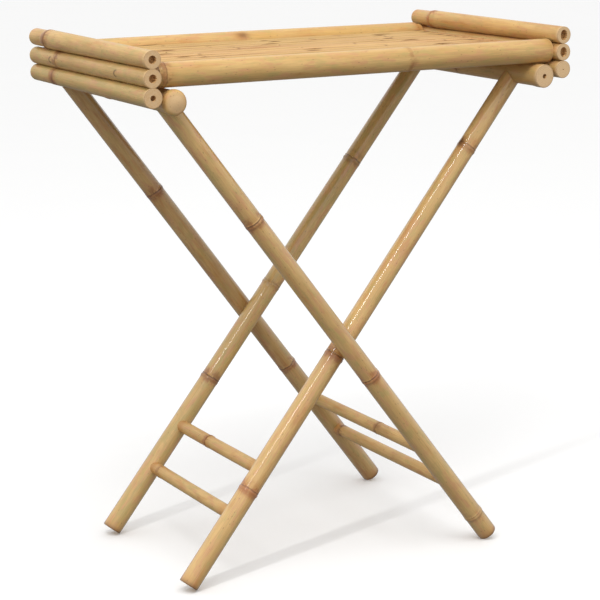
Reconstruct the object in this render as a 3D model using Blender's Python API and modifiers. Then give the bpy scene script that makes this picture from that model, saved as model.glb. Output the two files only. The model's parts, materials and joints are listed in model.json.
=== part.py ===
"""Folding bamboo tray table.

A lift-off tray with stacked end poles rests on a cross-legged folding stand.
Metres, +Z up. The origin is on the floor under the middle of the tray, +X runs along the
tray to its right end and +Y to its back rail. The outer frame carries the left crossbar and
the inner frame the right one. They turn about one line of pivot dowels, parallel to Y.
The poles are natural culms, so most of them taper and the legs splay towards their feet.
"""

import math

import bmesh
import bpy
from mathutils import Matrix, Vector

# Overall size
LENGTH = 0.700
WIDTH = 0.396
GAP = 0.0003

# End stacks: three poles lying on each other at each end of the tray
POLE_RADIUS = 0.01265
MIDDLE_Z = 0.74675
STACK_X = LENGTH / 2 - POLE_RADIUS
PEG_RADIUS = 0.003
PEG_Y = 0.125
PEG_HALF = 0.0316

# Long rails. The back one lies on the crossbars and the front one just above them
FRONT_RAIL_Y = -0.172
FRONT_RAIL_Z = 0.74805
FRONT_RAIL_RADIUS = 0.0175
FRONT_RAIL_HALF = STACK_X - POLE_RADIUS - GAP
BACK_RAIL_Y = 0.176
BACK_RAIL_Z = 0.74855
BACK_RAIL_RADIUS = 0.0193
BACK_RAIL_HALF = STACK_X - 0.0085
CROSSBAR_TOP = BACK_RAIL_Z - BACK_RAIL_RADIUS - GAP
RAIL_DOWEL_IN = 0.012
RAIL_DOWEL_OUT = 0.0035

# Tray surface
SLAT_COUNT = 12
SLAT_THICKNESS = 0.005
SLAT_TOP = 0.7565
SLAT_GAP = 0.0006
SLAT_HALF = 0.3238
SLAT_SHORTFALL = 0.0018
SLAT_EDGE = 0.0012
BATTEN_RADIUS = 0.007
BATTEN_X = (-0.2, 0.0, 0.2)
BATTEN_Z = SLAT_TOP - SLAT_THICKNESS - GAP - BATTEN_RADIUS
BATTEN_INSET = 0.0095

# Folding stand. The pivot line is parallel to Y
PIVOT_X = -0.01226
PIVOT_Z = 0.32814
BAR_HALF = WIDTH / 2 - 0.001
BAR_FRONT_RADIUS = 0.0162
BAR_BACK_RADIUS = 0.0141
LEG_FOOT_RADIUS = 0.0149
LEG_TOP_RADIUS = 0.0142
LEG_HORN = 0.0084
RUNG_RADIUS = 0.0096
RUNG_TENON = 0.010
DOWEL_RADIUS = 0.004
LEG_DOWEL_DOWN = 0.037
LEG_DOWEL_UP = 0.008
PIVOT_DEPTH = 0.0085
WASHER_RADIUS = 0.008
WASHER_THICKNESS = 0.0008

# Surface detail
SEGMENTS = 16
SMALL_SEGMENTS = 12
EDGE = 0.0007
BORE_DEPTH = 0.014
GROOVE = 0.0004
GROOVE_FLAT = 0.0018
GROOVE_REACH = 0.0055
SHARP_ANGLE = math.radians(38)
EMPTY_SIZE = 0.05

# Front and back radius, rings and front and back bore of each end pole.
# Rings are places along a pole measured from its middle.
END_POLES = {
    "left_end_pole_bottom": ((0.0134, 0.0124), (0.122,), (0.0033, 0.0036)),
    "left_end_pole_middle": ((POLE_RADIUS, POLE_RADIUS), (0.105,), (0.0046, 0.0042)),
    "left_end_pole_top": ((0.0124, 0.0145), (0.144,), (0.0046, 0.0040)),
    "right_end_pole_bottom": ((0.0130, 0.0124), (0.080,), (0.0, 0.0)),
    "right_end_pole_middle": ((POLE_RADIUS, POLE_RADIUS), (-0.060,), (0.0064, 0.0052)),
    "right_end_pole_top": ((0.0126, 0.0142), (0.1435,), (0.0062, 0.0050)),
}
FRONT_RAIL_NODES = (-0.311, 0.085)
BACK_RAIL_NODES = (-0.010, 0.240)

# X at the front and the back end of each crossbar, its rings and its bores
CROSSBARS = {
    "left_crossbar": ((-0.3040, -0.3092), (0.06,), (0.0, 0.0035)),
    "right_crossbar": ((0.3035, 0.2896), (0.004,), (0.0033, 0.0)),
}

# Y at the top and at the foot of each leg, and its rings, measured up from the pivot
LEGS = {
    "front_outer_leg": (-0.1553, -0.1718, (-0.052, 0.2595)),
    "back_outer_leg": (0.1553, 0.1718, (-0.128, 0.2594)),
    "front_inner_leg": (-0.1247, -0.1412, (-0.2483, -0.0146, 0.359)),
    "back_inner_leg": (0.1247, 0.1412, (-0.1237, 0.0548, 0.2935)),
}

# How far below the pivot each rung meets the front and the back leg of its frame
RUNGS = {
    "outer_upper_rung": (0.2132, 0.2074),
    "outer_lower_rung": (0.2870, 0.2834),
    "inner_upper_rung": (0.2152, 0.2129),
    "inner_lower_rung": (0.2924, 0.2905),
}

# Colours: linear RGB
STRAW = (0.58, 0.39, 0.17)
HONEY = (0.50, 0.31, 0.12)
SLAT_TAN = (0.60, 0.38, 0.21)
SHADE_BROWN = (0.34, 0.21, 0.09)
DOWEL_PALE = (0.62, 0.47, 0.28)
WASHER_GREY = (0.45, 0.45, 0.46)


def clear_scene():
    for obj in list(bpy.data.objects):
        bpy.data.objects.remove(obj)


def new_collection(name):
    collection = bpy.data.collections.new(name)
    bpy.context.scene.collection.children.link(collection)
    return collection


clear_scene()
TABLE = new_collection("folding_side_table")
CUTTERS = new_collection("cutters")


def add_empty(name, location):
    """An empty that carries one moving body. Its origin is on that body's joint axis."""
    empty = bpy.data.objects.new(name, None)
    empty.location = location
    empty.empty_display_size = EMPTY_SIZE
    TABLE.objects.link(empty)
    return empty


def add_material(name, colour, roughness=0.35, metallic=0.0):
    material = bpy.data.materials.new(name)
    material.use_nodes = True
    shader = material.node_tree.nodes["Principled BSDF"]
    shader.inputs["Base Color"].default_value = (*colour, 1.0)
    shader.inputs["Roughness"].default_value = roughness
    shader.inputs["Metallic"].default_value = metallic
    material.diffuse_color = (*colour, 1.0)
    return material


def turned_mesh(name, profile, segments):
    """A closed solid of revolution about Z from (radius, height) points listed top to bottom."""
    outline = bpy.data.meshes.new(name + "_profile")
    points = [(radius, 0.0, height) for radius, height in profile]
    edges = [(index, index + 1) for index in range(len(points) - 1)]
    outline.from_pydata(points, edges, [])
    holder = bpy.data.objects.new(name + "_profile", outline)
    bpy.context.scene.collection.objects.link(holder)
    screw = holder.modifiers.new("Turn", "SCREW")
    screw.axis = "Z"
    screw.steps = segments
    screw.render_steps = segments
    screw.use_merge_vertices = True
    screw.merge_threshold = 0.0001
    graph = bpy.context.evaluated_depsgraph_get()
    mesh = bpy.data.meshes.new_from_object(holder.evaluated_get(graph))
    bpy.data.objects.remove(holder)
    mesh.name = name
    mesh.shade_smooth()
    mesh.set_sharp_from_angle(angle=SHARP_ANGLE)
    return mesh


def culm_profile(length, radii, nodes=(), bores=(0.0, 0.0)):
    """Outline of a tapering bamboo pole, centred on its origin, with a groove at each node
    and a blind bore in each end. Radii and bores are given for the bottom and the top."""
    top = length / 2
    bottom = -top
    bottom_bore, top_bore = bores

    def skin(height):
        return radii[0] + (radii[1] - radii[0]) * (height - bottom) / length

    outline = [(0.0, top)]
    if top_bore:
        outline = [(0.0, top - BORE_DEPTH), (top_bore, top - BORE_DEPTH), (top_bore, top)]
    outline += [(radii[1] - EDGE, top), (radii[1], top - EDGE)]
    for node in sorted(nodes, reverse=True):
        outline += [
            (skin(node), node + GROOVE_REACH),
            (skin(node) - GROOVE, node + GROOVE_FLAT),
            (skin(node) - GROOVE, node - GROOVE_FLAT),
            (skin(node), node - GROOVE_REACH),
        ]
    outline += [(radii[0], bottom + EDGE), (radii[0] - EDGE, bottom)]
    if bottom_bore:
        end = bottom + BORE_DEPTH
        return outline + [(bottom_bore, bottom), (bottom_bore, end), (0.0, end)]
    return outline + [(0.0, bottom)]


def place_between(obj, parent, start, finish, collection=TABLE):
    """Parents an object and lays its own Z on the line from start to finish, given in world
    coordinates, with its origin half way."""
    start, finish = Vector(start), Vector(finish)
    turn = (finish - start).to_track_quat("Z", "Y")
    obj.parent = parent
    obj.matrix_basis = Matrix.LocRotScale((start + finish) / 2 - parent.location, turn, None)
    collection.objects.link(obj)
    return obj


def distance(start, finish):
    return (Vector(finish) - Vector(start)).length


def add_turned(name, profile, parent, start, finish, colour, segments=SEGMENTS):
    obj = bpy.data.objects.new(name, turned_mesh(name, profile, segments))
    obj.data.materials.append(add_material(name, colour))
    return place_between(obj, parent, start, finish)


def add_culm(name, parent, start, finish, radii, nodes=(), bores=(0.0, 0.0), colour=STRAW):
    profile = culm_profile(distance(start, finish), radii, nodes, bores)
    return add_turned(name, profile, parent, start, finish, colour)


def add_rod(name, parent, start, finish, radius, colour=DOWEL_PALE):
    """A plain dowel with chamfered ends."""
    profile = culm_profile(distance(start, finish), (radius, radius))
    return add_turned(name, profile, parent, start, finish, colour, SMALL_SEGMENTS)


def add_cutter(name, parent, start, finish, radii, segments=SEGMENTS):
    """A hidden cylinder or cone, GAP larger all round, that Boolean modifiers cut with."""
    start, finish = Vector(start), Vector(finish)
    reach = GAP * (finish - start).normalized()
    mesh = bpy.data.meshes.new(name)
    shape = bmesh.new()
    bmesh.ops.create_cone(
        shape,
        cap_ends=True,
        segments=segments,
        radius1=radii[0] + GAP,
        radius2=radii[1] + GAP,
        depth=distance(start, finish) + 2 * GAP,
    )
    shape.to_mesh(mesh)
    shape.free()
    cutter = bpy.data.objects.new(name, mesh)
    cutter.hide_render = True
    cutter.display_type = "WIRE"
    return place_between(cutter, parent, start - reach, finish + reach, CUTTERS)


def cut(obj, *cutters):
    for cutter in cutters:
        boolean = obj.modifiers.new("Cut " + cutter.name, "BOOLEAN")
        boolean.operation = "DIFFERENCE"
        boolean.solver = "EXACT"
        boolean.object = cutter


def end_pole_ends(name):
    """Front and back end of an end pole. Those above and below lie on the middle one."""
    x = -STACK_X if name.startswith("left") else STACK_X
    side = {"bottom": -1, "middle": 0, "top": 1}[name.split("_")[-1]]
    radii = END_POLES[name][0]
    heights = [MIDDLE_Z + side * (POLE_RADIUS + GAP + radius) for radius in radii]
    return (x, -WIDTH / 2, heights[0]), (x, WIDTH / 2, heights[1])


def build_end_stacks(tray):
    """The three poles at each end of the tray, and the pegs that hold them on each other."""
    holes = {"left": [], "right": []}
    for side, x in (("left", -STACK_X), ("right", STACK_X)):
        for place, y in (("front", -PEG_Y), ("back", PEG_Y)):
            name = f"{side}_{place}_stack_peg"
            low = (x, y, MIDDLE_Z - PEG_HALF)
            high = (x, y, MIDDLE_Z + PEG_HALF)
            add_rod(name, tray, low, high, PEG_RADIUS)
            radii = (PEG_RADIUS, PEG_RADIUS)
            holes[side].append(
                add_cutter(name + "_hole", tray, low, high, radii, SMALL_SEGMENTS)
            )
    for name, (radii, nodes, bores) in END_POLES.items():
        front, back = end_pole_ends(name)
        pole = add_culm(name, tray, front, back, radii, nodes, bores)
        cut(pole, *holes[name.split("_")[0]])


def build_rail(tray, name, half, y, z, radius, nodes):
    """A long rail, fitted against the stacked poles and dowelled to the middle one."""
    rail = add_culm(name, tray, (-half, y, z), (half, y, z), (radius, radius), nodes)
    for pole, (radii, _, _) in END_POLES.items():
        front, back = end_pole_ends(pole)
        cut(rail, add_cutter(f"{name}_over_{pole}", tray, front, back, radii, 2 * SEGMENTS))
    for side, sign in (("left", -1), ("right", 1)):
        inner = (sign * (STACK_X - POLE_RADIUS - RAIL_DOWEL_IN), y, MIDDLE_Z)
        outer = (sign * (STACK_X + RAIL_DOWEL_OUT), y, MIDDLE_Z)
        dowel = f"{name}_{side}_dowel"
        add_rod(dowel, tray, inner, outer, DOWEL_RADIUS)
        hole = add_cutter(dowel + "_hole", tray, inner, outer, (DOWEL_RADIUS, DOWEL_RADIUS))
        cut(rail, hole)
        cut(bpy.data.objects[f"{side}_end_pole_middle"], hole)
    return rail


def build_battens(tray, rails):
    """Thin poles under the slats, tenoned into both rails."""
    for index, x in enumerate(BATTEN_X):
        name = f"tray_batten_{index + 1}"
        front = (x, FRONT_RAIL_Y + BATTEN_INSET, BATTEN_Z)
        back = (x, BACK_RAIL_Y - BATTEN_INSET, BATTEN_Z)
        add_rod(name, tray, front, back, BATTEN_RADIUS, SHADE_BROWN)
        hole = add_cutter(name + "_hole", tray, front, back, (BATTEN_RADIUS, BATTEN_RADIUS))
        for rail in rails:
            cut(rail, hole)


def slat_reach(z, radius):
    """How far the slats' lower edge is from a rail's axis where the two meet."""
    return math.sqrt(radius**2 - (SLAT_TOP - SLAT_THICKNESS - z) ** 2) + GAP


def build_slats(tray):
    """Flattened bamboo strips side by side between the rails, each a little different in length."""
    front = FRONT_RAIL_Y + slat_reach(FRONT_RAIL_Z, FRONT_RAIL_RADIUS)
    back = BACK_RAIL_Y - slat_reach(BACK_RAIL_Z, BACK_RAIL_RADIUS)
    pitch = (back - front) / SLAT_COUNT
    for index in range(SLAT_COUNT):
        name = f"tray_slat_{index + 1:02d}"
        left = -SLAT_HALF + SLAT_SHORTFALL * (index % 3) / 2
        right = SLAT_HALF - SLAT_SHORTFALL * ((index * 2 + 1) % 5) / 4
        mesh = bpy.data.meshes.new(name)
        shape = bmesh.new()
        size = (right - left, pitch - SLAT_GAP, SLAT_THICKNESS)
        bmesh.ops.create_cube(shape, size=1.0)
        bmesh.ops.scale(shape, vec=size, verts=shape.verts)
        shape.to_mesh(mesh)
        shape.free()
        slat = bpy.data.objects.new(name, mesh)
        slat.data.materials.append(add_material(name, SLAT_TAN, 0.5))
        bevel = slat.modifiers.new("Edges", "BEVEL")
        bevel.width = SLAT_EDGE
        bevel.segments = 2
        slat.parent = tray
        y = front + (index + 0.5) * pitch
        slat.location = ((left + right) / 2, y, SLAT_TOP - SLAT_THICKNESS / 2)
        TABLE.objects.link(slat)


def crossbar_ends(name):
    """Front and back end of a crossbar. Its top is level and carries the rails."""
    front_x, back_x = CROSSBARS[name][0]
    front = Vector((front_x, -BAR_HALF, CROSSBAR_TOP - BAR_FRONT_RADIUS))
    back = Vector((back_x, BAR_HALF, CROSSBAR_TOP - BAR_BACK_RADIUS))
    return front, back


def leg_line(name):
    """Top, pivot and foot of a leg: it runs from its crossbar through the pivot line."""
    top_y, foot_y, _ = LEGS[name]
    front, back = crossbar_ends("left_crossbar" if "outer" in name else "right_crossbar")
    top = front.lerp(back, (top_y - front.y) / (back.y - front.y))
    slope = (top.x - PIVOT_X) / (top.z - PIVOT_Z)
    foot_z = (LEG_FOOT_RADIUS - EDGE) * math.sin(math.atan(abs(slope)))
    foot = Vector((PIVOT_X - slope * (PIVOT_Z - foot_z), foot_y, foot_z))
    pivot = foot.lerp(top, (PIVOT_Z - foot_z) / (top.z - foot_z))
    return top, pivot, foot


def build_rungs(frame, kind):
    """The two rungs of a frame, tenoned into its legs. Returns their socket cutters."""
    lines = [leg_line(f"{side}_{kind}_leg") for side in ("front", "back")]
    sockets = []
    for name in (f"{kind}_upper_rung", f"{kind}_lower_rung"):
        front, back = (
            pivot.lerp(foot, drop / (foot - pivot).length)
            for (_, pivot, foot), drop in zip(lines, RUNGS[name])
        )
        inset = (LEG_FOOT_RADIUS - RUNG_TENON) * (back - front).normalized()
        front, back = front + inset, back - inset
        add_culm(name, frame, front, back, (RUNG_RADIUS, RUNG_RADIUS), colour=HONEY)
        sockets.append(
            add_cutter(name + "_socket", frame, front, back, (RUNG_RADIUS, RUNG_RADIUS))
        )
    return sockets


def build_frame(frame, kind, crossbar):
    """One folding frame: its legs are saddled under the crossbar and dowelled to it."""
    _, nodes, bores = CROSSBARS[crossbar]
    bar_radii = (BAR_FRONT_RADIUS, BAR_BACK_RADIUS)
    ends = crossbar_ends(crossbar)
    bar = add_culm(crossbar, frame, *ends, bar_radii, nodes, bores, HONEY)
    saddle = add_cutter(kind + "_saddle", frame, *ends, bar_radii, 2 * SEGMENTS)
    sockets = build_rungs(frame, kind)
    for side in ("front", "back"):
        name = f"{side}_{kind}_leg"
        top, pivot, foot = leg_line(name)
        up = (top - foot).normalized()
        finish = top - LEG_HORN * up
        middle = (finish - foot).length / 2 - (pivot - foot).length
        nodes = [place - middle for place in LEGS[name][2]]
        leg = add_culm(
            name, frame, foot, finish, (LEG_FOOT_RADIUS, LEG_TOP_RADIUS), nodes, colour=HONEY
        )
        low, high = top - LEG_DOWEL_DOWN * up, top + LEG_DOWEL_UP * up
        dowel = name + "_top_dowel"
        add_rod(dowel, frame, low, high, DOWEL_RADIUS)
        hole = add_cutter(dowel + "_hole", frame, low, high, (DOWEL_RADIUS, DOWEL_RADIUS))
        cut(leg, saddle, hole, *sockets)
        cut(bar, hole)


def build_pivots(inner, outer):
    """Hidden pivot dowels between each pair of crossing legs, with a washer in the gap."""
    hole_radius = DOWEL_RADIUS + GAP
    for side, sign in (("front", -1), ("back", 1)):
        outer_y = leg_line(f"{side}_outer_leg")[1].y
        inner_y = leg_line(f"{side}_inner_leg")[1].y
        far = (PIVOT_X, outer_y + sign * PIVOT_DEPTH, PIVOT_Z)
        near = (PIVOT_X, inner_y - sign * PIVOT_DEPTH, PIVOT_Z)
        name = f"{side}_pivot_dowel"
        add_rod(name, inner, near, far, DOWEL_RADIUS)
        for frame, kind in ((inner, "inner"), (outer, "outer")):
            radii = (DOWEL_RADIUS, DOWEL_RADIUS)
            hole = add_cutter(f"{name}_{kind}_hole", frame, near, far, radii)
            cut(bpy.data.objects[f"{side}_{kind}_leg"], hole)
        half = WASHER_THICKNESS / 2
        ring = [
            (hole_radius, half),
            (WASHER_RADIUS, half),
            (WASHER_RADIUS, -half),
            (hole_radius, -half),
            (hole_radius, half),
        ]
        middle_y = (outer_y + inner_y) / 2
        start = (PIVOT_X, middle_y - half, PIVOT_Z)
        finish = (PIVOT_X, middle_y + half, PIVOT_Z)
        washer = add_turned(f"{side}_pivot_washer", ring, inner, start, finish, WASHER_GREY)
        shader = washer.data.materials[0].node_tree.nodes["Principled BSDF"]
        shader.inputs["Metallic"].default_value = 1.0


def main():
    outer = add_empty("outer_frame", (PIVOT_X, 0.0, PIVOT_Z))
    inner = add_empty("inner_frame", (PIVOT_X, 0.0, PIVOT_Z))
    tray = add_empty("tray", (0.0, 0.0, 0.0))

    build_end_stacks(tray)
    front = build_rail(
        tray,
        "front_rail",
        FRONT_RAIL_HALF,
        FRONT_RAIL_Y,
        FRONT_RAIL_Z,
        FRONT_RAIL_RADIUS,
        FRONT_RAIL_NODES,
    )
    back = build_rail(
        tray,
        "back_rail",
        BACK_RAIL_HALF,
        BACK_RAIL_Y,
        BACK_RAIL_Z,
        BACK_RAIL_RADIUS,
        BACK_RAIL_NODES,
    )
    build_battens(tray, (front, back))
    build_slats(tray)
    build_frame(outer, "outer", "left_crossbar")
    build_frame(inner, "inner", "right_crossbar")
    build_pivots(inner, outer)


main()
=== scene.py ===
"""Looks of the folding bamboo tray table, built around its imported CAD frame.

Every pole is a bamboo culm: a loft round the CAD part's own axis, with the swellings, bands and
scars of its nodes, a slight unevenness, and cut, bored or saddled ends. The tray's surface is
flattened bamboo, split along its grain. Positions come from the CAD nodes and the joint axis.
"""

import json
import math

import bpy
import numpy as np
from mathutils import Euler, Matrix, Vector
from mathutils.geometry import intersect_line_line


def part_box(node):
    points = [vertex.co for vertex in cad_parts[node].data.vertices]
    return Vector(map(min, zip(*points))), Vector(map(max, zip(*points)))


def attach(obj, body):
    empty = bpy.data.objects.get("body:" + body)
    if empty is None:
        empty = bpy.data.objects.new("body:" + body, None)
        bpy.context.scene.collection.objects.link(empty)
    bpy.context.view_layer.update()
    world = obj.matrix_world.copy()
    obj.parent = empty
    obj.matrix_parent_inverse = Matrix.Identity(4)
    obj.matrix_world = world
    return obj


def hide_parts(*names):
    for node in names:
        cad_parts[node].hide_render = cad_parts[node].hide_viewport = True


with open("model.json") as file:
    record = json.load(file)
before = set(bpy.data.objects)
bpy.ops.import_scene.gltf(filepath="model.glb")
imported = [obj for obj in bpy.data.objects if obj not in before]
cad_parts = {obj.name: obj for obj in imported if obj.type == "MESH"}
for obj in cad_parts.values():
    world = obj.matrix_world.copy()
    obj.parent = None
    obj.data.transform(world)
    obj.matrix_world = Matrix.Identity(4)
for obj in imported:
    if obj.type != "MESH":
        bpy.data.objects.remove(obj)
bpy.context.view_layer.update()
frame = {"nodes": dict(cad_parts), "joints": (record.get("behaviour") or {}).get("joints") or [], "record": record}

# Camera: a long lens from the front left, a little above the tray
CAMERA_PLACE = (-1.4535, -2.5335, 1.0241)
CAMERA_YAW = math.radians(29.797)
CAMERA_PITCH = math.radians(-12.598)
CAMERA_ROLL = math.radians(-0.352)
CAMERA_LENS = 117.53
CAMERA_SENSOR = 36.0

# Culm mesh: spacing of rings along a pole, and points round it
ROW_STEP = 0.006
FINE_REACH = 0.011
FINE_STEP = 0.0007
AROUND = 72
WASHER_SIDES = 48
FAR_FROM_NODE = 0.03

# CAD's clearance between parts, which the looks close between parts of one body
CAD_GAP = 0.0003
END_SLICE = 0.0003
RADIUS_SLICE = 0.004
BORE_DEPTH = 0.009
WORN_REACH = 0.0026
SADDLE_REACH = 0.03
SHARP_ANGLE = math.radians(50)

# Colours, linear RGB
STRAW = (0.61, 0.376, 0.138)
PALE = (0.68, 0.436, 0.172)
GREENISH = (0.49, 0.352, 0.118)
PINKISH = (0.62, 0.325, 0.15)
OLIVE = (0.47, 0.365, 0.13)
AMBER = (0.52, 0.24, 0.07)
GOLD = (0.66, 0.4, 0.11)
RUST = (0.43, 0.172, 0.06)
NODE_BROWN = (0.24, 0.118, 0.05)
SCAR_DARK = (0.11, 0.05, 0.02)
END_PALE = (0.7, 0.475, 0.255)
END_BRIGHT = (0.84, 0.58, 0.315)
END_SPECK = (0.45, 0.27, 0.13)
BORE_WALL = (0.33, 0.17, 0.06)
BORE_FLOOR = (0.78, 0.48, 0.2)
SLAT_TAN = (0.65, 0.396, 0.166)
SLAT_GOLD = (0.675, 0.43, 0.16)
SLAT_ROSE = (0.64, 0.375, 0.165)
# Painted shade in the slats' open splits and in the notches before their trim lines
SLAT_GAP_SHADE = (0.15, 0.07, 0.028)
STEEL_DARK = (0.46, 0.45, 0.43)
STEEL_PALE = (0.6, 0.6, 0.6)
FLOOR_PALE = (0.975, 0.975, 0.972)

# Strength of the white light from above and from below
LIGHT_ABOVE = 0.98
SHADE_BELOW = 0.27


# ------------ CAD places

def middle(node):
    low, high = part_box(node)
    return (low + high) / 2


def span(node):
    low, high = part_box(node)
    return high - low


PIVOT = Vector(next(joint for joint in frame["joints"] if joint["name"] == "stand_fold")["pos_m"])
BODY_OF = {
    node: body
    for body, nodes in frame["record"]["behaviour"]["bodies"].items()
    for node in nodes
}


def mesh_points(node):
    mesh = frame["nodes"][node].data
    points = np.empty(3 * len(mesh.vertices))
    mesh.vertices.foreach_get("co", points)
    return points.reshape(-1, 3)


def end_centre(points, along):
    """Centre of the face at the far end of a culm, which is a whole ring."""
    reach = points @ along
    face = points[reach > reach.max() - END_SLICE]
    return (face.min(axis=0) + face.max(axis=0)) / 2


def radius_near(points, centre, along):
    """Greatest distance from a culm's axis, of its points near one end."""
    offset = points - centre
    reach = offset @ along
    offset = (offset - np.outer(reach, along))[np.abs(reach) < RADIUS_SLICE]
    return float(np.linalg.norm(offset, axis=1).max())


def axis_of(node):
    """Start, finish and both radii of a CAD culm with whole ends, along +X, +Y or +Z."""
    points = mesh_points(node)
    _, _, rows = np.linalg.svd(points - points.mean(axis=0), full_matrices=False)
    along = rows[0] if rows[0].sum() > 0 else -rows[0]
    start, finish = end_centre(points, -along), end_centre(points, along)
    radii = radius_near(points, start, along), radius_near(points, finish, along)
    return Vector(start), Vector(finish), radii


# ------------ shader nodes

# Places of a Mix node's colour sockets among those of its other data types
COLOUR_A, COLOUR_B, COLOUR_RESULT = 6, 7, 2


class Nodes:
    """Adds shader nodes to a tree. A value is a number, a colour or another node's output."""

    def __init__(self, tree):
        self.tree = tree

    def wire(self, value, socket):
        if isinstance(value, bpy.types.NodeSocket):
            self.tree.links.new(value, socket)
        elif isinstance(value, tuple) and len(value) == 3 and socket.type == "RGBA":
            socket.default_value = (*value, 1.0)
        else:
            socket.default_value = value

    def add(self, kind, inputs, output=0, **settings):
        """The output of a new node with these values on its inputs, by name or place."""
        node = self.tree.nodes.new("ShaderNode" + kind)
        for name, value in settings.items():
            setattr(node, name, value)
        for socket, value in inputs.items():
            self.wire(value, node.inputs[socket])
        return node.outputs[output]

    def attribute(self, name, output="Fac"):
        return self.add("Attribute", {}, output, attribute_name=name)

    def attribute_parts(self, name):
        """The three numbers of a vector attribute."""
        return tuple(self.add("SeparateXYZ", {0: self.attribute(name, "Vector")}).node.outputs)

    def stretch(self, vector, scale):
        return self.add("VectorMath", {0: vector, 1: scale}, operation="MULTIPLY")

    def noise(self, vector, scale, detail=3.0, roughness=0.5):
        """Noise from 0 to 1 on coordinates in metres, with a separate scale along each axis."""
        inputs = {"Scale": 1.0, "Detail": detail, "Roughness": roughness}
        inputs["Vector"] = self.stretch(vector, scale)
        return self.add("TexNoise", inputs, "Fac")

    def cells(self, vector, scale):
        """Distance from the middles of random cells."""
        return self.add("TexVoronoi", {"Vector": self.stretch(vector, scale), "Scale": 1.0}, "Distance")

    def plus(self, first, second, times=1.0):
        """first + second * times."""
        return self.add("Math", {0: second, 1: times, 2: first}, operation="MULTIPLY_ADD")

    def size(self, value):
        return self.add("Math", {0: value}, operation="ABSOLUTE")

    def product(self, first, *others):
        for other in others:
            first = self.add("Math", {0: first, 1: other}, operation="MULTIPLY")
        return first

    def remap(self, value, low, high, new_low=0.0, new_high=1.0):
        """Smoothly maps low..high to new_low..new_high, held at the ends."""
        inputs = {"Value": value, "From Min": low, "From Max": high}
        inputs |= {"To Min": new_low, "To Max": new_high}
        return self.add("MapRange", inputs, "Result", interpolation_type="SMOOTHSTEP")

    def mix(self, amount, first, second):
        inputs = {"Factor": amount, COLOUR_A: first, COLOUR_B: second}
        return self.add("Mix", inputs, COLOUR_RESULT, data_type="RGBA")


class Surface(Nodes):
    """A material on its Principled BSDF. Its colour is built up layer by layer."""

    def __init__(self, name, **constants):
        self.material = bpy.data.materials.new(name)
        self.material.use_nodes = True
        super().__init__(self.material.node_tree)
        self.shader = self.tree.nodes["Principled BSDF"]
        self.colour = None
        for socket, value in constants.items():
            self.shader.inputs[socket.replace("_", " ")].default_value = value

    def paint(self, colour, *amounts):
        """Lays a colour over the layers so far, by the product of the amounts."""
        self.colour = self.mix(self.product(*amounts), self.colour, colour)

    def tint(self, *amounts):
        """Multiplies the colour by numbers."""
        inputs = {0: self.colour, "Scale": self.product(*amounts)}
        self.colour = self.add("VectorMath", inputs, operation="SCALE")

    def finish(self, roughness, height, strength, distance):
        """Joins up colour, roughness and the bumps made by height."""
        inputs = {"Strength": strength, "Distance": distance, "Height": height}
        self.wire(self.colour, self.shader.inputs["Base Color"])
        self.wire(roughness, self.shader.inputs["Roughness"])
        self.wire(self.add("Bump", inputs, "Normal"), self.shader.inputs["Normal"])
        return self.material


# ------------ materials

def bamboo_skin(name, coat):
    """Varnished culm surface: fibres, stains, and a brown band and a dark scar at each node."""
    skin = Surface(name, Coat_Weight=coat, Coat_Roughness=0.07, IOR=1.45, Specular_IOR_Level=0.25)
    place = skin.attribute("culm", "Vector")
    warm, light, green = skin.attribute_parts("tone")
    mark, blush, gold = skin.attribute_parts("mark")
    cloud = skin.noise(place, (80, 80, 30), 3.0, 0.6)
    stain = skin.noise(place, (95, 95, 16), 4.0, 0.6)
    patch = skin.noise(place, (130, 130, 38), 3.0, 0.55)
    streak = skin.noise(place, (430, 430, 11), 3.0, 0.6)
    fibre = skin.noise(place, (1500, 1500, 30), 2.0)

    skin.colour = skin.mix(skin.remap(skin.noise(place, (60, 60, 9)), 0.38, 0.62), STRAW, PALE)
    skin.paint(GREENISH, skin.remap(skin.plus(streak, green, 0.2), 0.48, 0.72, 0.0, 0.35))
    skin.paint(OLIVE, skin.remap(skin.plus(cloud, green, 0.12), 0.5, 0.68, 0.0, 0.55))
    skin.paint(PINKISH, skin.remap(patch, 0.5, 0.66, 0.0, 0.7))
    skin.paint(AMBER, skin.remap(skin.plus(stain, warm, 0.22), 0.6, 0.86, 0.0, 0.75))
    skin.paint(GOLD, gold, 0.65)
    # Amber blushes: stains, and at the rung ends painted shade where they meet the legs
    skin.paint(AMBER, blush, 0.8)
    paint_nodes(skin, place, stain, patch)
    skin.paint(END_PALE, skin.attribute("worn"), 0.85)
    # Scars, and the painted contact shadow at the legs' feet
    skin.paint(SCAR_DARK, mark, 0.9)
    skin.paint(NODE_BROWN, skin.remap(skin.cells(place, (210, 210, 80)), 0.06, 0.17, 0.55, 0.0))
    # Lighter or darker by each culm's tone; on the inner legs this is partly painted light
    skin.tint(skin.remap(fibre, 0.25, 0.75, 0.88, 1.07), light)

    roughness = skin.remap(streak, 0.3, 0.8, 0.36, 0.5)
    return skin.finish(roughness, skin.plus(fibre, streak, 1.5), 0.22, 0.0004)


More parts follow.
